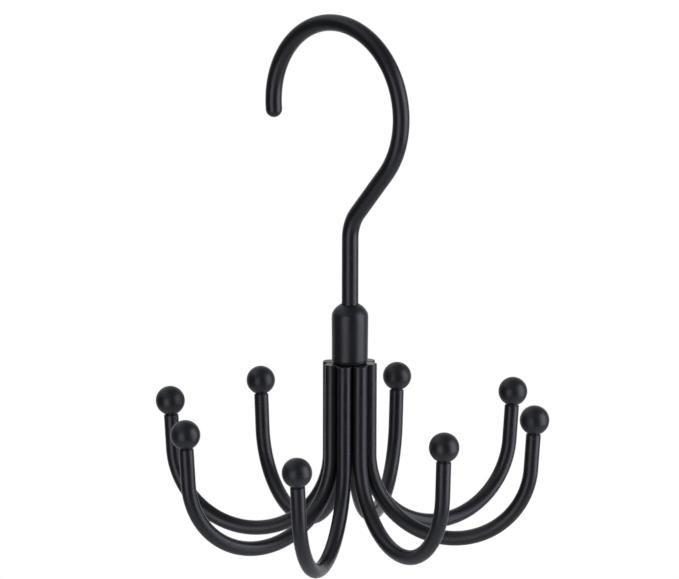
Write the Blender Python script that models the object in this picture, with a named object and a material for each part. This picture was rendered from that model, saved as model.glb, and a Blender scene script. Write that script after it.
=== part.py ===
# A belt hanger: eight ball-tipped J hooks of bent wire, welded round a core post,
# turn on a swivel below the hook that it hangs by. Metres, +Z up.
# The origin is on the swivel axis, at the inner face of the hook, which carries the load.
# The hook lies in the XZ plane, kicks out towards +X and opens towards -X.
import math

import bmesh
import bpy

# Fits
gap = 0.0003  # between two pieces that touch
head_play = 0.0006  # below the hook's head, inside the cap
weld_gap = 0.0008  # between the cap and the tops of the rods
rod_gap = 0.0003  # between neighbouring rods, filled by the weld

# Hanging hook, sizes along the wire's centre line
hook_wire_dia = 0.0062
hook_neck = 0.0249  # straight wire showing above the cap
kick_radius = 0.0154
kick_angle = math.radians(40.5)
hook_shank = 0.0213  # straight run between the kick and the loop
loop_radius = 0.0324
tip_overrun = math.radians(6)  # how far the loop runs on past level with its centre
head_ledge = 0.0015  # how far the head stands out beyond the wire
head_thickness = 0.0024
head_chamfer = 0.0004

# Thrust washer
washer_overhang = 0.0003  # beyond the head, all round
washer_thickness = 0.0010

# Swivel cap
cap_height = 0.0212
cap_wall = 0.0015
cap_flare = 0.000125  # how much wider the shoulder is than the foot, on the radius
cap_crown = 0.0068  # solid metal above the cavity
cap_rim = 0.0002  # flat land round the wire
dome_drop = 0.0034
dome_bulge = 0.00036  # how far the dome swells beyond a plain cone
shoulder_drop = 0.0012
cap_edge = 0.0003  # chamfer at the foot

# Arms
arm_count = 8
arm_wire_dia = 0.0055
arm_straight = 0.0355
inner_bend_radius = 0.0310
outer_bend_radius = 0.0304
arm_lean = math.radians(4.5)  # of the stem, outwards
arm_stem = 0.0132
arm_chamfer = 0.0004
ring_phase = math.radians(28)  # of the first arm, from +X

# Bent and welded by hand, in degrees: each arm's turn about its own rod, the droop of
# its bends and the extra lean of its stem
arm_sets = (
    (2.5, -2.5, 1.5),
    (-1.8, -2.0, 1.5),
    (0.3, 1.0, -0.2),
    (-0.5, 2.3, -2.5),
    (0.2, -0.4, -0.8),
    (1.6, -0.6, -0.4),
    (0.0, 4.7, -0.4),
    (-0.6, -2.6, 0.5),
)

# Balls and the spigots that hold them
ball_dia = 0.0110
seat_land = 0.0003  # flat on the ball, round its hole
spigot_dia = 0.0034
spigot_length = 0.0032

# Core post
core_setback = 0.0015  # from the end of the rods' straight run
core_chamfer = 0.0005

# Facets
hook_sides = 16
arm_sides = 12
turned_sides = 28
ball_sides = 16
ball_rings = 9
tip_rings = 4
dome_rings = 5
bend_step = math.radians(7.5)

# Where the pieces come along the swivel axis
loop_inside = loop_radius - hook_wire_dia / 2
loop_centre_x = (
    kick_radius * (1 - math.cos(kick_angle))
    + hook_shank * math.sin(kick_angle)
    - loop_radius * math.cos(kick_angle)
)
loop_rise = (
    kick_radius * math.sin(kick_angle)
    + hook_shank * math.cos(kick_angle)
    + loop_radius * math.sin(kick_angle)
)
loop_centre_z = -math.sqrt(loop_inside**2 - loop_centre_x**2)
kick_start = loop_centre_z - loop_rise
cap_top = kick_start - hook_neck
cavity_top = cap_top - cap_crown
washer_top = cavity_top - gap
head_top = washer_top - washer_thickness - gap
head_foot = head_top - head_thickness
plug_top = head_foot - head_play
cap_foot = cap_top - cap_height
rods_top = cap_foot - weld_gap

# What fits in what, as radii
hook_wire = hook_wire_dia / 2
arm_wire = arm_wire_dia / 2
head = hook_wire + head_ledge
bore = hook_wire + gap
washer_rim = head + washer_overhang
cavity = washer_rim + gap
cap_base = cavity + cap_wall
cap_shoulder = cap_base + cap_flare
rod_circle = (arm_wire_dia + rod_gap) / (2 * math.sin(math.pi / arm_count))
core_shank = rod_circle - arm_wire - gap

# How a ball sits on the end of its wire
ball = ball_dia / 2
spigot = spigot_dia / 2
ball_hole = spigot + gap
seat = ball_hole + seat_land
seat_depth = math.sqrt(ball**2 - seat**2)

# Finishes: colour, roughness, metallic
black_coat = ((0.0130, 0.0130, 0.0145, 1.0), 0.46, 0.0)
zinc_plate = ((0.42, 0.43, 0.44, 1.0), 0.34, 1.0)


class Wire:
    """A round wire led along lines and arcs in the XZ plane, as a list of stations."""

    def __init__(self, z, heading, radius):
        self.x = 0.0
        self.z = z
        self.heading = heading
        self.radius = radius
        self.stations = []
        self.mark()

    def mark(self):
        self.stations.append((self.x, self.z, self.heading, self.radius))

    def line(self, length, radius=None):
        """Run straight on, and end with the given radius."""
        self.x += length * math.cos(self.heading)
        self.z += length * math.sin(self.heading)
        self.step(self.radius if radius is None else radius)

    def step(self, radius):
        """Change the radius, here if the wire hasn't moved on."""
        self.radius = radius
        self.mark()

    def bend(self, radius, turn):
        """Follow an arc, to the left where turn is positive."""
        steps = math.ceil(abs(turn) / bend_step)
        part = turn / steps
        chord = 2 * radius * math.sin(abs(part) / 2)
        for _ in range(steps):
            self.heading += part / 2
            self.x += chord * math.cos(self.heading)
            self.z += chord * math.sin(self.heading)
            self.heading += part / 2
            self.mark()

    def round_end(self):
        """Close the wire with a round tip that ends in a single point."""
        start = self.radius
        done = 0.0
        for ring in range(1, tip_rings):
            turn = ring / tip_rings * math.pi / 2
            reach = start * math.sin(turn)
            self.line(reach - done, start * math.cos(turn))
            done = reach
        self.line(start - done, 0.0)


def skin(name, rings, capped):
    """A closed mesh through rings of points; uncapped, the last ring joins the first."""
    bm = bmesh.new()
    loops = [[bm.verts.new(point) for point in ring] for ring in rings]
    pairs = list(zip(loops, loops[1:]))
    if capped:
        for loop in (loops[0], loops[-1]):
            if len(loop) > 1:
                bm.faces.new(loop)
    else:
        pairs.append((loops[-1], loops[0]))
    for low, high in pairs:
        for index, corner in enumerate(low):
            after = (index + 1) % len(low)
            if len(high) == 1:
                bm.faces.new((corner, low[after], high[0]))
            else:
                bm.faces.new((corner, low[after], high[after], high[index]))
    bmesh.ops.recalc_face_normals(bm, faces=bm.faces)
    mesh = bpy.data.meshes.new(name)
    bm.to_mesh(mesh)
    bm.free()
    mesh.shade_smooth()
    mesh.set_sharp_from_angle(angle=math.radians(35))
    return mesh


def wire_mesh(name, wire, sides):
    rings = []
    for x, z, heading, radius in wire.stations:
        ring = []
        for side in range(sides if radius else 1):
            turn = 2 * math.pi * side / sides
            across = radius * math.cos(turn)
            ring.append(
                (
                    x - across * math.sin(heading),
                    radius * math.sin(turn),
                    z + across * math.cos(heading),
                )
            )
        rings.append(ring)
    return skin(name, rings, capped=True)


def turned_mesh(name, outline, sides, capped):
    """Turn an outline of (radius, height) points about the Z axis."""
    rings = []
    for radius, height in outline:
        ring = []
        for side in range(sides if radius else 1):
            turn = 2 * math.pi * side / sides
            ring.append((radius * math.cos(turn), radius * math.sin(turn), height))
        rings.append(ring)
    return skin(name, rings, capped)


def place(name, mesh, parent, location, turn=(0.0, 0.0, 0.0), finish=black_coat):
    """Put a mesh in the scene as one named piece with a material of its own."""
    colour, roughness, metallic = finish
    if not mesh.materials:
        material = bpy.data.materials.new(mesh.name + "_finish")
        material.use_nodes = True
        shader = material.node_tree.nodes["Principled BSDF"]
        shader.inputs["Base Color"].default_value = colour
        shader.inputs["Roughness"].default_value = roughness
        shader.inputs["Metallic"].default_value = metallic
        mesh.materials.append(material)
    piece = bpy.data.objects.new(name, mesh)
    bpy.context.collection.objects.link(piece)
    piece.parent = parent
    piece.location = location
    piece.rotation_euler = turn
    return piece


def make_pivot():
    """The swivel axis, at the cap's top: everything that turns hangs from it."""
    pivot = bpy.data.objects.new("swivel_pivot", None)
    bpy.context.collection.objects.link(pivot)
    pivot.location = (0.0, 0.0, cap_top)
    return pivot


def make_hook():
    """The bent wire from its head inside the cap to its round tip."""
    wire = Wire(head_foot, math.pi / 2, head - head_chamfer)
    wire.line(head_chamfer, head)
    wire.line(head_thickness - 2 * head_chamfer, head)
    wire.line(head_chamfer, head - head_chamfer)
    wire.step(hook_wire)
    wire.line(kick_start - head_top)
    wire.bend(kick_radius, -kick_angle)
    wire.line(hook_shank)
    wire.bend(loop_radius, kick_angle + math.pi / 2)
    wire.bend(loop_radius, math.pi / 2 + tip_overrun)
    wire.round_end()
    mesh = wire_mesh("hanging_hook", wire, hook_sides)
    place("hanging_hook", mesh, None, (0.0, 0.0, 0.0))


def make_washer(pivot):
    outline = (
        (bore, -washer_thickness),
        (washer_rim, -washer_thickness),
        (washer_rim, 0.0),
        (bore, 0.0),
    )
    mesh = turned_mesh("swivel_washer", outline, turned_sides, capped=False)
    place("swivel_washer", mesh, pivot, (0.0, 0.0, washer_top - cap_top), finish=zinc_plate)


def dome_points():
    """The dome from the rim to the shoulder, swelling a little beyond a straight cone."""
    rim = bore + cap_rim
    edge = cap_shoulder - cap_flare
    slant = math.hypot(edge - rim, dome_drop)
    points = []
    for ring in range(dome_rings + 1):
        part = ring / dome_rings
        swell = dome_bulge * math.sin(math.pi * part)
        radius = rim + (edge - rim) * part + swell * dome_drop / slant
        height = -dome_drop * part + swell * (edge - rim) / slant
        points.append((radius, height))
    return points


def make_cap(pivot):
    """The bullet cap: a bore for the wire above, a cavity for head, washer and post below."""
    shoulder = -dome_drop - shoulder_drop
    outline = dome_points()
    outline.append((cap_shoulder, shoulder))
    outline.append((cap_base, cap_edge - cap_height))
    outline.append((cap_base - cap_edge, -cap_height))
    outline.append((cavity, -cap_height))
    outline.append((cavity, -cap_crown))
    outline.append((bore, -cap_crown))
    outline.append((bore, 0.0))
    mesh = turned_mesh("swivel_cap", outline, turned_sides, capped=False)
    place("swivel_cap", mesh, pivot, (0.0, 0.0, 0.0))


def make_core(pivot):
    """The post: a plug that closes the cap, and a shank down the middle of the rods."""
    plug = cavity - gap
    plug_foot = rods_top + gap - plug_top
    shank_foot = rods_top - arm_straight + core_setback - plug_top
    outline = (
        (plug - core_chamfer, 0.0),
        (plug, -core_chamfer),
        (plug, plug_foot),
        (core_shank, plug_foot),
        (core_shank, shank_foot + core_chamfer),
        (core_shank - core_chamfer, shank_foot),
    )
    mesh = turned_mesh("core_post", outline, turned_sides, capped=True)
    place("core_post", mesh, pivot, (0.0, 0.0, plug_top - cap_top))


def arm_path(droop, extra_lean):
    """One J from the rod's cut top to its shoulder, and where and how its ball sits."""
    drop = inner_bend_radius * math.sin(droop)
    wire = Wire(0.0, -math.pi / 2, arm_wire - arm_chamfer)
    wire.line(arm_chamfer, arm_wire)
    wire.line(arm_straight + drop - arm_chamfer)
    wire.bend(inner_bend_radius, math.pi / 2)
    wire.bend(outer_bend_radius, math.pi / 2 - arm_lean - extra_lean - droop)
    wire.line(arm_stem - arm_chamfer)
    wire.line(arm_chamfer, arm_wire - arm_chamfer)
    lean = math.pi / 2 - wire.heading
    reach = gap + seat_depth
    centre = (wire.x + reach * math.sin(lean), 0.0, wire.z + reach * math.cos(lean))
    wire.step(spigot)
    wire.line(spigot_length)
    return wire, centre, lean


def ball_mesh():
    """A ball with a flat seat below it and a blind hole for the wire's spigot."""
    outline = [(ball_hole, spigot_length - seat_depth), (ball_hole, -seat_depth)]
    start = math.asin(seat / ball)
    for ring in range(ball_rings):
        turn = start + (math.pi - start) * ring / ball_rings
        outline.append((ball * math.sin(turn), -ball * math.cos(turn)))
    outline.append((0.0, ball))
    return turned_mesh("ball", outline, ball_sides, capped=True)


def make_arms(pivot):
    """The ring of arms, each with its ball, round the core post."""
    balls = ball_mesh()
    for index in range(arm_count):
        number = str(index + 1)
        degrees = arm_sets[index % len(arm_sets)]
        yaw, droop, extra_lean = (math.radians(value) for value in degrees)
        azimuth = ring_phase + 2 * math.pi * index / arm_count
        wire, centre, lean = arm_path(droop, extra_lean)
        root = (
            rod_circle * math.cos(azimuth),
            rod_circle * math.sin(azimuth),
            rods_top - cap_top,
        )
        mesh = wire_mesh("arm_" + number, wire, arm_sides)
        arm = place("arm_" + number, mesh, pivot, root, (0.0, 0.0, azimuth + yaw))
        place("ball_" + number, balls, arm, centre, (0.0, lean, 0.0))


def main():
    for old in list(bpy.data.objects):
        bpy.data.objects.remove(old)
    make_hook()
    pivot = make_pivot()
    make_cap(pivot)
    make_washer(pivot)
    make_core(pivot)
    make_arms(pivot)


main()
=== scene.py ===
import math

import bmesh
import bpy
from mathutils import Matrix, Vector


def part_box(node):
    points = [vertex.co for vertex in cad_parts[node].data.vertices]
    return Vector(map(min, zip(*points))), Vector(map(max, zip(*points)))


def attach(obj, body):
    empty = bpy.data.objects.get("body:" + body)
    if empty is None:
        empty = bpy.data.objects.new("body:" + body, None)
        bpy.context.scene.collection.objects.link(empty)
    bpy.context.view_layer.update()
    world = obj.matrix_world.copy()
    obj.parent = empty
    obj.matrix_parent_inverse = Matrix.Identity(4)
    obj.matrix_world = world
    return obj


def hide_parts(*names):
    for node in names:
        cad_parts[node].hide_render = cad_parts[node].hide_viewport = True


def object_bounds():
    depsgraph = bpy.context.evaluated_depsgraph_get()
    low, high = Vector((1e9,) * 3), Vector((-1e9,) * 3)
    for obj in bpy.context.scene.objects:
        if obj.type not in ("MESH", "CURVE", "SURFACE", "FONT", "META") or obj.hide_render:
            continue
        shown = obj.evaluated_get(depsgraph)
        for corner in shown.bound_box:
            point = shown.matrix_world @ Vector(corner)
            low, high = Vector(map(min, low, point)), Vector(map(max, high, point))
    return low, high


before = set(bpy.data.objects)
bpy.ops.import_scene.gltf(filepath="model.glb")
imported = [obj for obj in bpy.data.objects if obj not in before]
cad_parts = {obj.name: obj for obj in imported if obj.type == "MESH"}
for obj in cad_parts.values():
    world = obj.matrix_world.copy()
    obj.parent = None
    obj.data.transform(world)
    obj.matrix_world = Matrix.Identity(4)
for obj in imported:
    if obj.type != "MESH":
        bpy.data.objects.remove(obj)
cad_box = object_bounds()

# Clearances that the solids keep. Joints that show are drawn closer
solid_gap = 0.0003
rod_gap = 0.0003  # between neighbouring rods

# Hanging hook, as in the solids: the wire's radius, and bends along its centre line. Here
# and below, values that end in _edge are the radii of rounded edges
hook_wire = 0.0031
kick_radius = 0.0154
kick_angle = math.radians(40.5)
hook_shank = 0.0213
loop_radius = 0.0324
tip_overrun = math.radians(6)
head_ledge = 0.0015  # how far the forged head stands out beyond the wire
head = hook_wire + head_ledge
head_thickness = 0.0024
head_edge = 0.0005

# Thrust washer, wider than the head
washer_bore = hook_wire + solid_gap
washer_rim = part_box("swivel_washer")[1].x
washer_edge = 0.00012

# Swivel cap: radii, and drops below its top
bore_gap = 0.00015
cap_bore = hook_wire + bore_gap
cap_cavity = washer_rim + solid_gap
cap_wall = 0.0015
cap_base = cap_cavity + cap_wall
cap_flare = 0.000125  # how much wider the shoulder is than the foot
cap_shoulder = cap_base + cap_flare
cap_crown = 0.0068
rim_land = 0.00036  # flat land round the wire
rim_edge = 0.00012
dome_drop = 0.0034
dome_bulge = 0.00036  # how far the dome swells beyond a plain cone
shoulder_edge = 0.0026
belly_drop = 0.0050
belly_edge = 0.0080
foot_edge = 0.00035

# Arms, as in the solids
arm_count = 8
arm_wire = 0.00275  # radius of the wire
rod_circle = (2 * arm_wire + rod_gap) / (2 * math.sin(math.pi / arm_count))
arm_straight = 0.0355
inner_bend_radius = 0.0310
outer_bend_radius = 0.0304
arm_lean = math.radians(4.5)
arm_stem = 0.0132
ring_phase = math.radians(28)
cut_edge = 0.00028  # at a rod's sawn top
stem_edge = 0.00042  # at the stem's upper end
# In degrees: each arm's turn about its own rod, the droop of its bends and the extra lean
# of its stem
arm_sets = (
    (2.5, -2.5, 1.5),
    (-1.8, -2.0, 1.5),
    (0.3, 1.0, -0.2),
    (-0.5, 2.3, -2.5),
    (0.2, -0.4, -0.8),
    (1.6, -0.6, -0.4),
    (0.0, 4.7, -0.4),
    (-0.6, -2.6, 0.5),
)

# Balls, their seats, and the necks and spigots that carry them
ball = 0.0055  # radius, as are the spigot's and the neck's
spigot = 0.0017
spigot_length = 0.0032
hole_gap = 0.00005
ball_hole = spigot + hole_gap
ball_seat = spigot + 2 * solid_gap
seat_edge = 0.00008  # the width of a small chamfer
neck = 0.0022
neck_gap = 0.00003

# Core post and welds
core_shank = rod_circle - arm_wire - solid_gap
plug = cap_cavity - solid_gap
post_edge = 0.0005
top_weld = 0.00043  # radius of the bead's section
top_weld_circle = cap_base - 2 * top_weld
foot_weld = 0.00055  # likewise
foot_weld_circle = core_shank + foot_weld / 2
weld_ripples = 46
weld_ripple_share = 0.12  # of the bead's thickness

# Fineness of the meshes
wire_sides = 40
turned_sides = 96
ball_sides = 64
ball_rings = 36
edge_steps = 5
dome_steps = 10
tip_steps = 12
weld_sides = 10
ripple_steps = 6
bend_step = math.radians(2.5)
sharp_angle = math.radians(40)
support_share = 0.94  # of a flat end's radius, where a ring keeps its shading flat
fade_share = 0.4  # of the way to the next corner, where wear ends at the latest

# Wear from 0 to 1. A higher power keeps it closer to where things rub
hook_rub_power = 6  # along the loop
arm_rub_power = 4  # along the bend
inner_face_power = 4  # round the wire
arm_rub_share = 0.6
ball_rub_power = 3
ball_rub_share = 0.5
rim_wear = 0.8
shoulder_wear = 0.15
foot_wear = 0.6
post_wear = 0.5
edge_wear = 1.0  # at cut ends, on the head and on the washer

# Powder coat: colours, and scales per metre with the detail of each noise
coat_dark = (0.0038, 0.0041, 0.0064, 1.0)
coat_light = (0.0056, 0.0060, 0.0088, 1.0)
coat_dust = (0.03, 0.03, 0.031, 1.0)
coat_worn = (0.05, 0.05, 0.052, 1.0)
coat_clouds = (140.0, 3.0)
coat_patches = (900.0, 4.0)
coat_peel = (1100.0, 2.0)
coat_grain = (5200.0, 2.0)
coat_specks = (2600.0, 1.0)
speck_range = (0.70, 0.78)  # of the noise, over which specks fade in
patch_range = (0.35, 0.65)
patch_least = 0.2  # share of the wear that the clean patches keep
dust_share = 0.35
worn_share = 0.30
cloud_range = (0.3, 0.7)
cloud_roughness = 0.03  # added and taken away by the clouds
worn_polish = 0.06  # taken off the roughness where worn
coat_ior = 1.5

# Each coat: roughness, and the depths of its orange peel and its grain
hook_finish = (0.35, 0.000016, 0.000011)
cap_finish = (0.38, 0.000012, 0.000010)
core_finish = (0.40, 0.000020, 0.000010)
arm_finish = (0.35, 0.000016, 0.000011)
ball_finish = (0.40, 0.000012, 0.000010)

# Zinc plate: colours, blotches and turned rings, with scales and details as above
zinc_dark = (0.60, 0.61, 0.62, 1.0)
zinc_light = (0.72, 0.73, 0.74, 1.0)
zinc_blotches = (700.0, 3.0)
zinc_rings = (9000.0, 3.0)
zinc_ring_range = (0.3, 0.7)
zinc_roughness = (0.28, 0.42)
zinc_ring_depth = 0.000004

# Camera, placed as the photograph shows the hanger
frame_width, frame_height = 679, 579
axis_pixel_x, rods_top_pixel_y = 350.04, 362.10
pixels_per_metre = 2690.0  # at the swivel axis
view_azimuth = math.radians(43.43)
view_elevation = math.radians(11.98)
view_roll = math.radians(0.14)
view_distance = 1.7015
view_depth_share = 10  # of that distance, past which nothing is drawn
sensor_width = 36.0  # millimetres

# Softboxes: azimuths in degrees to the right of the camera, seen from the object
box_distance = 1.2
left_box = {"azimuth": -30, "elevation": -5, "size": (0.76, 1.16), "level": 1.8}
right_box = {"azimuth": 74, "elevation": 5, "size": (1.08, 1.60), "level": 2.55}
left_tint = (1.0, 1.0, 1.08)
right_tint = (0.98, 0.99, 1.14)

# Room: light levels by direction, where 1 is white. A span gives the first and the last
# height, or share of the way left, of a unit direction over which a level comes in
room_tint = (0.98, 1.0, 1.08, 1.0)
room_level = 0.08
ceiling_level = 0.10
ceiling_span = (0.17, 0.77)
below_level = 0.18
below_span = (-0.34, -0.87)
behind_level = 0.36
upper_left_level = 0.75
upper_span = (0.34, 0.71)
left_span = (-0.2, 1.0)
backdrop_inner = math.radians(20)  # half-width of the white backdrop
backdrop_outer = math.radians(50)  # where it has faded away

# Floor
floor_drop = 0.45  # below the hanger's lowest point
floor_radius = 1.1
floor_fade = (0.45, 1.05)  # distances from the axis between which it fades away
floor_sides = 128
floor_colour = (0.88, 0.88, 0.88, 1.0)
floor_lift_share = 0.45  # of plain white, for the camera

# Places along the swivel axis, from the solids
cap_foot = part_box("swivel_cap")[0].z
cap_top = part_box("swivel_cap")[1].z
rods_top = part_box("arm_1")[1].z
head_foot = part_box("hanging_hook")[0].z
post_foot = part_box("core_post")[0].z
post_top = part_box("core_post")[1].z
washer_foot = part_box("swivel_washer")[0].z
washer_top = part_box("swivel_washer")[1].z
loop_side = (
    kick_radius * (1 - math.cos(kick_angle))
    + hook_shank * math.sin(kick_angle)
    - loop_radius * math.cos(kick_angle)
)
loop_rise = (
    kick_radius * math.sin(kick_angle)
    + hook_shank * math.cos(kick_angle)
    + loop_radius * math.sin(kick_angle)
)
loop_centre = -math.sqrt((loop_radius - hook_wire) ** 2 - loop_side**2)
kick_start = loop_centre - loop_rise
seat_depth = math.sqrt(ball**2 - ball_seat**2)

# Directions of the view
towards_camera = Vector((math.sin(view_azimuth), -math.cos(view_azimuth), 0.0))
view_right = Vector((math.cos(view_azimuth), math.sin(view_azimuth), 0.0))


class Wire:
    """A round wire led along lines and arcs in the XZ plane, as a list of stations."""

    def __init__(self, z, heading, radius):
        self.x = 0.0
        self.z = z
        self.heading = heading
        self.radius = radius
        self.stations = []
        self.line(0.0, radius)

    def move(self, length):
        self.x += length * math.cos(self.heading)
        self.z += length * math.sin(self.heading)

    def line(self, length, radius=None, wear=0.0):
        """Run straight on, and end with the given radius."""
        self.move(length)
        if radius is not None:
            self.radius = radius
        self.stations.append((self.x, self.z, self.heading, self.radius, wear))

    def bend(self, radius, turn):
        """Follow an arc, to the left where turn is positive."""
        steps = math.ceil(abs(turn) / bend_step)
        part = turn / steps
        chord = 2 * radius * math.sin(abs(part) / 2)
        for _ in range(steps):
            self.heading += part / 2
            self.move(chord)
            self.heading += part / 2
            self.line(0.0)

    def round_out(self, edge):
        """From a flat face, round out to the side, and run on as far again."""
        flat = self.radius
        done = 0.0
        for step in range(1, edge_steps + 1):
            turn = step / edge_steps * math.pi / 2
            reach = edge * (1 - math.cos(turn))
            self.line(reach - done, flat + edge * math.sin(turn), edge_wear)
            done = reach
        self.line(edge)

    def round_in(self, edge):
        """From the side, round in to a flat face."""
        full = self.radius
        done = 0.0
        for step in range(1, edge_steps + 1):
            turn = step / edge_steps * math.pi / 2
            reach = edge * math.sin(turn)
            self.line(reach - done, full - edge * (1 - math.cos(turn)), edge_wear)
            done = reach

    def round_tip(self):
        """Close the wire with half a ball."""
        full = self.radius
        done = 0.0
        for step in range(1, tip_steps + 1):
            turn = step / tip_steps * math.pi / 2
            reach = full * math.sin(turn)
            self.line(reach - done, full * math.cos(turn) if step < tip_steps else 0.0)
            done = reach


def bridge(bm, low, high):
    """Faces between two rings, one of which may be a single point."""
    count = max(len(low), len(high))
    for index in range(count):
        after = (index + 1) % count
        corners = (
            low[index % len(low)],
            low[after % len(low)],
            high[after % len(high)],
            high[index % len(high)],
        )
        bm.faces.new(dict.fromkeys(corners))


def skin(name, rings, closed_ends):
    """A smooth closed mesh through rings of (point, wear)."""
    bm = bmesh.new()
    wear_layer = bm.verts.layers.float.new("wear")
    loops = []
    for ring in rings:
        loop = []
        for point, wear in ring:
            vertex = bm.verts.new(point)
            vertex[wear_layer] = wear
            loop.append(vertex)
        loops.append(loop)
    for low, high in zip(loops, loops[1:]):
        bridge(bm, low, high)
    if closed_ends:
        for loop in (loops[0], loops[-1]):
            if len(loop) > 1:
                bm.faces.new(loop)
    else:
        bridge(bm, loops[-1], loops[0])
    bmesh.ops.recalc_face_normals(bm, faces=bm.faces)
    mesh = bpy.data.meshes.new(name)
    bm.to_mesh(mesh)
    bm.free()
    mesh.shade_smooth()
    mesh.set_sharp_from_angle(angle=sharp_angle)
    return mesh


def wire_mesh(name, wire, rub):
    """Rings round the wire. rub(z, heading, inward) gives the wear that use leaves."""
    rings = []
    for x, z, heading, radius, wear in wire.stations:
        ring = []
        for side in range(wire_sides if radius else 1):
            turn = 2 * math.pi * side / wire_sides
            inward = math.cos(turn)
            point = (
                x - radius * inward * math.sin(heading),
                radius * math.sin(turn),
                z + radius * inward * math.cos(heading),
            )
            ring.append((point, min(1.0, wear + rub(z, heading, inward))))
        rings.append(ring)
    return skin(name, rings, closed_ends=True)


def turned_mesh(name, outline, sides, closed_ends):
    """Turn an outline of (radius, height, wear) points about the Z axis."""
    rings = []
    for radius, height, wear in outline:
        ring = []
        for side in range(sides if radius else 1):
            turn = 2 * math.pi * side / sides
            point = (radius * math.cos(turn), radius * math.sin(turn), height)
            ring.append((point, wear))
        rings.append(ring)
    return skin(name, rings, closed_ends)


def round_corner(before, here, after):
    """The points of an arc in place of a corner of an outline."""
    x, z, edge, _ = here
    corner = Vector((x, z))
    if edge == 0:
        return [corner]
    back = (Vector(before[:2]) - corner).normalized()
    on = (Vector(after[:2]) - corner).normalized()
    half = back.angle(on) / 2
    centre = corner + (back + on).normalized() * edge / math.sin(half)
    start = corner + back * edge / math.tan(half) - centre
    end = corner + on * edge / math.tan(half) - centre
    sweep = -start.angle_signed(end)
    turns = (sweep * step / edge_steps for step in range(edge_steps + 1))
    return [centre + Matrix.Rotation(turn, 2) @ start for turn in turns]


def round_corners(corners):
    """An outline through (radius, height, edge, wear) corners, where wear fades off the edge."""
    arcs = []
    for index, here in enumerate(corners):
        after = corners[(index + 1) % len(corners)]
        arcs.append(round_corner(corners[index - 1], here, after))
    outline = []
    for index, (_, _, edge, wear) in enumerate(corners):
        arc = arcs[index]
        back = arcs[index - 1][-1] - arc[0]
        on = arcs[(index + 1) % len(corners)][0] - arc[-1]
        if wear:
            point = arc[0] + back.normalized() * min(edge, fade_share * back.length)
            outline.append((*point, 0.0))
        outline += [(*point, wear) for point in arc]
        if wear:
            point = arc[-1] + on.normalized() * min(edge, fade_share * on.length)
            outline.append((*point, 0.0))
    return outline


def add_piece(name, mesh, body, material, replaced=None):
    """Put a mesh on its body, in place of the solid that it stands for."""
    piece = bpy.data.objects.new(name, mesh)
    bpy.context.scene.collection.objects.link(piece)
    mesh.materials.append(material)
    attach(piece, body)
    if replaced:
        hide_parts(replaced)


def hook_rub(z, heading, inward):
    """The loop's inner face bears the load, most at the top."""
    if z < loop_centre:
        return 0.0
    along = max(0.0, -math.cos(heading)) ** hook_rub_power
    return along * max(0.0, inward) ** inner_face_power


def arm_rub(_, heading, inward):
    """Straps lie in the bend of a J, on its inner face."""
    along = arm_rub_share * max(0.0, math.cos(heading)) ** arm_rub_power
    return along * max(0.0, inward) ** inner_face_power


def make_hook(material):
    """The bent wire, from its forged head inside the cap to its round tip."""
    wire = Wire(head_foot, math.pi / 2, support_share * (head - head_edge))
    wire.line(0.0, head - head_edge)
    wire.round_out(head_edge)
    # Rounding out, its run on and rounding in take up three edges
    wire.line(head_thickness - 3 * head_edge)
    wire.round_in(head_edge)
    wire.line(0.0, hook_wire)
    wire.line(kick_start - head_foot - head_thickness)
    wire.bend(kick_radius, -kick_angle)
    wire.line(hook_shank)
    wire.bend(loop_radius, kick_angle + math.pi / 2)
    wire.bend(loop_radius, math.pi / 2 + tip_overrun)
    wire.round_tip()
    mesh = wire_mesh("hook_wire", wire, hook_rub)
    add_piece("hook_wire", mesh, "hook", material, "hanging_hook")


def make_cap(material):
    """The bullet cap, with its bore above and its cavity below."""
    rim = cap_bore + rim_land
    slope = Vector((cap_base - rim, -dome_drop))
    outward = Vector((dome_drop, cap_base - rim)).normalized()
    corners = [(cap_bore, 0.0, rim_edge, rim_wear), (rim, 0.0, 0.0, 0.0)]
    for step in range(1, dome_steps - 1):
        part = step / dome_steps
        point = slope * part + outward * dome_bulge * math.sin(math.pi * part)
        corners.append((rim + point.x, point.y, 0.0, 0.0))
    foot = cap_foot - cap_top
    corners += [
        (cap_base, -dome_drop, shoulder_edge, shoulder_wear),
        (cap_shoulder, -belly_drop, belly_edge, 0.0),
        (cap_base, foot, foot_edge, foot_wear),
        (cap_cavity, foot, foot_edge, 0.0),
        (cap_cavity, -cap_crown, 0.0, 0.0),
        (cap_bore, -cap_crown, 0.0, 0.0),
    ]
    mesh = turned_mesh("cap_shell", round_corners(corners), turned_sides, closed_ends=False)
    mesh.transform(Matrix.Translation((0.0, 0.0, cap_top)))
    add_piece("cap_shell", mesh, "hanger", material, "swivel_cap")


def make_washer(material):
    """The thrust washer under the cap's crown."""
    corners = (
        (washer_bore, washer_foot, washer_edge, edge_wear),
        (washer_rim, washer_foot, washer_edge, edge_wear),
        (washer_rim, washer_top, washer_edge, edge_wear),
        (washer_bore, washer_top, washer_edge, edge_wear),
    )
    mesh = turned_mesh("thrust_washer", round_corners(corners), turned_sides, closed_ends=False)
    add_piece("thrust_washer", mesh, "hanger", material, "swivel_washer")


def make_post(material):
    """The post in the middle: a plug that closes the cap and a shank between the rods."""
    plug_foot = rods_top + solid_gap
    corners = (
        (0.0, post_top, 0.0, 0.0),
        (support_share * (plug - post_edge), post_top, 0.0, 0.0),
        (plug, post_top, post_edge, 0.0),
        (plug, plug_foot, 0.0, 0.0),
        (core_shank, plug_foot, 0.0, 0.0),
        (core_shank, post_foot, post_edge, post_wear),
        (support_share * (core_shank - post_edge), post_foot, 0.0, 0.0),
        (0.0, post_foot, 0.0, 0.0),
    )
    mesh = turned_mesh("centre_post", round_corners(corners), turned_sides, closed_ends=True)
    add_piece("centre_post", mesh, "hanger", material, "core_post")


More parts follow.
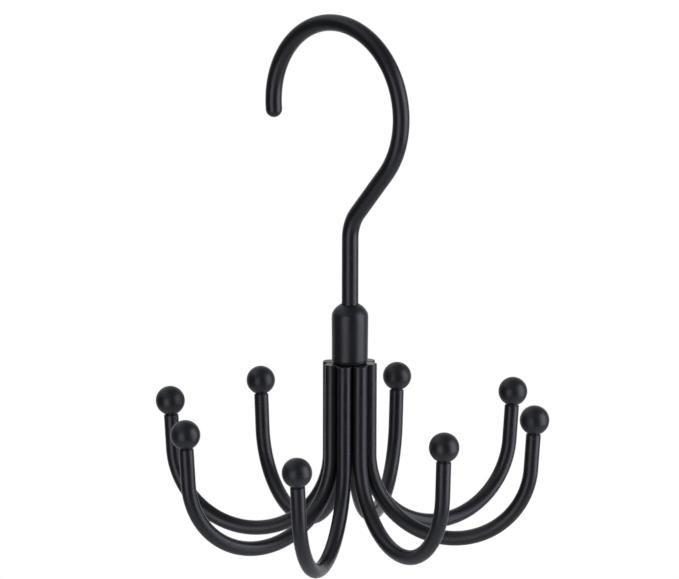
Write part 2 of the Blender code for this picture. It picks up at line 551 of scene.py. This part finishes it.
def weld_mesh(name, circle, thickness, height):
    """A rippled bead of weld that runs round the axis."""
    rings = []
    sections = weld_ripples * ripple_steps
    for section in range(sections):
        around = 2 * math.pi * section / sections
        ripple = math.sin(weld_ripples * around)
        radius = thickness * (1 - weld_ripple_share * (1 + ripple) / 2)
        ring = []
        for side in range(weld_sides):
            turn = 2 * math.pi * side / weld_sides
            across = circle + radius * math.cos(turn)
            point = (
                across * math.cos(around),
                across * math.sin(around),
                height + radius * math.sin(turn),
            )
            ring.append((point, 0.0))
        rings.append(ring)
    return skin(name, rings, closed_ends=False)


def make_welds(material):
    """Beads that hold the rods, below the cap and round the post's foot."""
    middle = (cap_foot + rods_top) / 2
    mesh = weld_mesh("top_weld", top_weld_circle, top_weld, middle)
    add_piece("top_weld", mesh, "hanger", material)
    mesh = weld_mesh("foot_weld", foot_weld_circle, foot_weld, post_foot + foot_weld)
    add_piece("foot_weld", mesh, "hanger", material)


def arm_path(droop, extra_lean):
    """One J from the rod's sawn top to its ball, and where and how the ball sits."""
    drop = inner_bend_radius * math.sin(droop)
    wire = Wire(0.0, -math.pi / 2, support_share * (arm_wire - cut_edge))
    wire.line(0.0, arm_wire - cut_edge)
    wire.round_out(cut_edge)
    wire.line(arm_straight + drop - 2 * cut_edge)
    wire.bend(inner_bend_radius, math.pi / 2)
    wire.bend(outer_bend_radius, math.pi / 2 - arm_lean - extra_lean - droop)
    wire.line(arm_stem - stem_edge)
    wire.round_in(stem_edge)
    lean = math.pi / 2 - wire.heading
    reach = solid_gap + seat_depth
    centre = Vector((wire.x + reach * math.sin(lean), 0.0, wire.z + reach * math.cos(lean)))
    wire.line(0.0, neck)
    wire.line(solid_gap - neck_gap)
    wire.line(0.0, spigot)
    wire.line(spigot_length)
    return wire, centre, lean


def ball_mesh(name):
    """A ball with a flat seat below it and a blind hole for the spigot."""
    hole_top = spigot_length + solid_gap - seat_depth
    outline = [
        (0.0, hole_top, 0.0),
        (ball_hole, hole_top, 0.0),
        (ball_hole, -seat_depth, 0.0),
        (ball_seat - seat_edge, -seat_depth, 0.0),
    ]
    start = math.asin(ball_seat / ball)
    for ring in range(ball_rings):
        turn = start + (math.pi - start) * ring / ball_rings
        wear = ball_rub_share * max(0.0, -math.cos(turn)) ** ball_rub_power
        outline.append((ball * math.sin(turn), -ball * math.cos(turn), wear))
    outline.append((0.0, ball, outline[-1][2]))
    return turned_mesh(name, outline, ball_sides, closed_ends=True)


def make_arms(wire_material, ball_material):
    """The ring of arms, each with its ball."""
    for index in range(arm_count):
        number = str(index + 1)
        degrees = arm_sets[index % len(arm_sets)]
        yaw, droop, extra_lean = (math.radians(value) for value in degrees)
        azimuth = ring_phase + 2 * math.pi * index / arm_count
        wire, centre, lean = arm_path(droop, extra_lean)
        root = (rod_circle * math.cos(azimuth), rod_circle * math.sin(azimuth), rods_top)
        place = Matrix.Translation(root) @ Matrix.Rotation(azimuth + yaw, 4, "Z")
        mesh = wire_mesh("arm_wire_" + number, wire, arm_rub)
        mesh.transform(place)
        add_piece("arm_wire_" + number, mesh, "hanger", wire_material,
                  "arm_" + number)
        mesh = ball_mesh("arm_ball_" + number)
        mesh.transform(place @ Matrix.Translation(centre) @ Matrix.Rotation(lean, 4, "Y"))
        add_piece("arm_ball_" + number, mesh, "hanger", ball_material,
                  "ball_" + number)


class Graph:
    """Shader nodes, each made, set and linked in one call."""

    def __init__(self, tree):
        self.tree = tree
        tree.nodes.clear()

    def add(self, kind, inputs, **settings):
        """A node of a kind, with values or links for the inputs named or numbered."""
        node = self.tree.nodes.new(kind)
        for name, value in settings.items():
            setattr(node, name, value)
        for name, value in inputs.items():
            if isinstance(value, bpy.types.NodeSocket):
                self.tree.links.new(value, node.inputs[name])
            else:
                node.inputs[name].default_value = value
        return node

    def math(self, operation, first, second=0.0):
        return self.add("ShaderNodeMath", {0: first, 1: second}, operation=operation).outputs[0]

    def noise(self, where, scale, detail):
        inputs = {"Vector": where, "Scale": scale, "Detail": detail}
        return self.add("ShaderNodeTexNoise", inputs).outputs["Fac"]

    def between(self, value, low, high, start, end):
        """A smooth step from start at low to end at high."""
        inputs = {"Value": value, 1: low, 2: high, 3: start, 4: end}
        kind = "ShaderNodeMapRange"
        return self.add(kind, inputs, interpolation_type="SMOOTHSTEP").outputs[0]

    def along(self, where, direction):
        """How far a unit vector goes in a direction."""
        inputs = {0: where, 1: direction}
        return self.add("ShaderNodeVectorMath", inputs, operation="DOT_PRODUCT").outputs["Value"]

    def mix_colour(self, share, first, second):
        inputs = {0: share, 6: first, 7: second}
        return self.add("ShaderNodeMix", inputs, data_type="RGBA").outputs[2]

    def bump(self, height, distance, before=None):
        inputs = {"Height": height, "Distance": distance, "Strength": 1.0}
        if before is not None:
            inputs["Normal"] = before
        return self.add("ShaderNodeBump", inputs).outputs["Normal"]


def powder_coat(name, roughness, peel_depth, grain_depth):
    """Satin black powder coat: orange peel, fine grain, cloudy gloss and faint wear."""
    material = bpy.data.materials.new(name)
    material.use_nodes = True
    graph = Graph(material.node_tree)
    where = graph.add("ShaderNodeTexCoord", {}).outputs["Object"]
    wear = graph.add("ShaderNodeAttribute", {}, attribute_name="wear").outputs["Fac"]
    clouds = graph.noise(where, *coat_clouds)
    patches = graph.noise(where, *coat_patches)
    peel = graph.noise(where, *coat_peel)
    grain = graph.noise(where, *coat_grain)
    specks = graph.between(graph.noise(where, *coat_specks), *speck_range, 0.0, 1.0)
    worn = graph.math("MULTIPLY", wear, graph.between(patches, *patch_range, patch_least, 1.0))
    base = graph.mix_colour(clouds, coat_dark, coat_light)
    dusty = graph.mix_colour(graph.math("MULTIPLY", specks, dust_share), base, coat_dust)
    colour = graph.mix_colour(graph.math("MULTIPLY", worn, worn_share), dusty, coat_worn)
    smoothest = roughness - cloud_roughness
    roughest = roughness + cloud_roughness
    rough = graph.between(clouds, *cloud_range, smoothest, roughest)
    rough = graph.math("SUBTRACT", rough, graph.math("MULTIPLY", worn, worn_polish))
    normal = graph.bump(peel, peel_depth)
    normal = graph.bump(grain, grain_depth, normal)
    inputs = {"Base Color": colour, "Roughness": rough, "Normal": normal, "IOR": coat_ior}
    shader = graph.add("ShaderNodeBsdfPrincipled", inputs)
    graph.add("ShaderNodeOutputMaterial", {"Surface": shader.outputs[0]})
    return material


def zinc_plate(name):
    """Bright zinc with rings left by turning."""
    material = bpy.data.materials.new(name)
    material.use_nodes = True
    graph = Graph(material.node_tree)
    where = graph.add("ShaderNodeTexCoord", {}).outputs["Object"]
    flat = graph.add("ShaderNodeVectorMath", {0: where, 1: (1.0, 1.0, 0.0)}, operation="MULTIPLY")
    length = graph.add("ShaderNodeVectorMath", {0: flat.outputs[0]}, operation="LENGTH")
    rings = graph.noise(length.outputs["Value"], *zinc_rings)
    blotches = graph.noise(where, *zinc_blotches)
    inputs = {
        "Base Color": graph.mix_colour(blotches, zinc_dark, zinc_light),
        "Metallic": 1.0,
        "Roughness": graph.between(rings, *zinc_ring_range, *zinc_roughness),
        "Normal": graph.bump(rings, zinc_ring_depth),
    }
    shader = graph.add("ShaderNodeBsdfPrincipled", inputs)
    graph.add("ShaderNodeOutputMaterial", {"Surface": shader.outputs[0]})
    return material


def seen_by(graph, *kinds):
    """1 for rays of these kinds, as Light Path names them."""
    path = graph.add("ShaderNodeLightPath", {})
    total = 0.0
    for kind in kinds:
        total = graph.math("MAXIMUM", path.outputs[kind], total)
    return total


def make_world():
    """White behind the hanger, for the camera and in its gloss, in an otherwise dim room."""
    world = bpy.data.worlds.new("studio")
    bpy.context.scene.world = world
    world.use_nodes = True
    graph = Graph(world.node_tree)
    where = graph.add("ShaderNodeTexCoord", {}).outputs["Generated"]
    height = graph.add("ShaderNodeSeparateXYZ", {0: where}).outputs["Z"]
    behind = graph.along(where, -towards_camera)
    left = graph.along(where, -view_right)
    level = graph.between(height, *ceiling_span, room_level, room_level + ceiling_level)
    level = graph.math("ADD", level, graph.between(height, *below_span, 0.0, below_level))
    level = graph.math("ADD", level, graph.between(behind, 0.0, 1.0, 0.0, behind_level))
    upper = graph.between(height, *upper_span, 0.0, upper_left_level)
    upper_left = graph.math("MULTIPLY", upper, graph.between(left, *left_span, 0.0, 1.0))
    level = graph.math("ADD", level, upper_left)
    away = -towards_camera * math.cos(view_elevation)
    away.z = -math.sin(view_elevation)
    backdrop = graph.between(graph.along(where, away), math.cos(backdrop_outer),
                             math.cos(backdrop_inner), 0.0, 1.0)
    in_gloss = seen_by(graph, "Is Glossy Ray", "Is Transmission Ray")
    white = graph.math("MAXIMUM", seen_by(graph, "Is Camera Ray"),
                       graph.math("MULTIPLY", backdrop, in_gloss))
    level = graph.math("ADD", graph.math("MULTIPLY", level, graph.math("SUBTRACT", 1.0, white)),
                       white)
    colour = graph.mix_colour(white, room_tint, (1.0, 1.0, 1.0, 1.0))
    background = graph.add("ShaderNodeBackground", {"Color": colour, "Strength": level})
    graph.add("ShaderNodeOutputWorld", {"Surface": background.outputs[0]})


def make_floor(height):
    """A plain pale floor far below the hanger, which fades into the white background."""
    bm = bmesh.new()
    bmesh.ops.create_circle(bm, cap_ends=True, radius=floor_radius, segments=floor_sides)
    mesh = bpy.data.meshes.new("floor")
    bm.to_mesh(mesh)
    bm.free()
    floor = bpy.data.objects.new("floor", mesh)
    floor.location = (0.0, 0.0, height)
    bpy.context.scene.collection.objects.link(floor)
    material = bpy.data.materials.new("pale_floor")
    material.use_nodes = True
    graph = Graph(material.node_tree)
    where = graph.add("ShaderNodeTexCoord", {}).outputs["Object"]
    distance = graph.add("ShaderNodeVectorMath", {0: where}, operation="LENGTH")
    fade = graph.between(distance.outputs["Value"], *floor_fade, 0.0, 1.0)
    matt = graph.add("ShaderNodeBsdfDiffuse", {"Color": floor_colour})
    white = graph.add("ShaderNodeEmission", {"Strength": 1.0})
    lift = graph.math("MULTIPLY", seen_by(graph, "Is Camera Ray"), floor_lift_share)
    lit = graph.add("ShaderNodeMixShader", {0: lift, 1: matt.outputs[0], 2: white.outputs[0]})
    clear = graph.add("ShaderNodeBsdfTransparent", {})
    below = graph.add("ShaderNodeNewGeometry", {}).outputs["Backfacing"]
    gone = graph.math("MAXIMUM", fade, below)
    faded = graph.add("ShaderNodeMixShader", {0: gone, 1: lit.outputs[0], 2: clear.outputs[0]})
    graph.add("ShaderNodeOutputMaterial", {"Surface": faded.outputs[0]})
    mesh.materials.append(material)


def make_softbox(name, box, tint, target):
    """A rectangular lamp that faces the target, at a radiance given as a level."""
    turn = math.radians(box["azimuth"])
    rise = math.radians(box["elevation"])
    out = towards_camera * math.cos(turn) + view_right * math.sin(turn)
    out = out * math.cos(rise)
    out.z = math.sin(rise)
    width, height = box["size"]
    lamp = bpy.data.lights.new(name, "AREA")
    lamp.shape = "RECTANGLE"
    lamp.size = width
    lamp.size_y = height
    lamp.energy = box["level"] * math.pi * width * height
    lamp.color = tint
    holder = bpy.data.objects.new(name, lamp)
    holder.location = target + out * box_distance
    holder.rotation_euler = (-out).to_track_quat("-Z", "Y").to_euler()
    holder.visible_camera = False
    bpy.context.scene.collection.objects.link(holder)


def make_camera():
    """The photograph's view: a long lens, a little above the ring of hooks."""
    ahead = -towards_camera * math.cos(view_elevation)
    ahead.z = -math.sin(view_elevation)
    up = view_right.cross(ahead)
    aside = (axis_pixel_x - frame_width / 2) / pixels_per_metre
    below = (rods_top_pixel_y - frame_height / 2) / pixels_per_metre
    place = Vector((0.0, 0.0, rods_top)) - view_right * aside + up * below
    place -= ahead * view_distance
    turn = Matrix((view_right, up, -ahead)).transposed()
    turn = Matrix.Rotation(view_roll, 3, -ahead) @ turn
    lens = bpy.data.cameras.new("camera")
    lens.sensor_width = sensor_width
    lens.lens = sensor_width * pixels_per_metre * view_distance / frame_width
    lens.clip_end = view_depth_share * view_distance
    camera = bpy.data.objects.new("camera", lens)
    camera.matrix_world = Matrix.Translation(place) @ turn.to_4x4()
    bpy.context.scene.collection.objects.link(camera)
    bpy.context.scene.camera = camera


make_camera()
make_hook(powder_coat("hook_coat", *hook_finish))
make_cap(powder_coat("cap_coat", *cap_finish))
make_washer(zinc_plate("washer_plate"))
core_coat = powder_coat("core_coat", *core_finish)
make_post(core_coat)
make_welds(core_coat)
make_arms(powder_coat("arm_coat", *arm_finish), powder_coat("ball_coat", *ball_finish))

middle_of_object = (cad_box[0] + cad_box[1]) / 2
make_world()
make_floor(cad_box[0].z - floor_drop)
make_softbox("left_box", left_box, left_tint, middle_of_object)
make_softbox("right_box", right_box, right_tint, middle_of_object)
bpy.context.scene.view_settings.view_transform = "Standard"
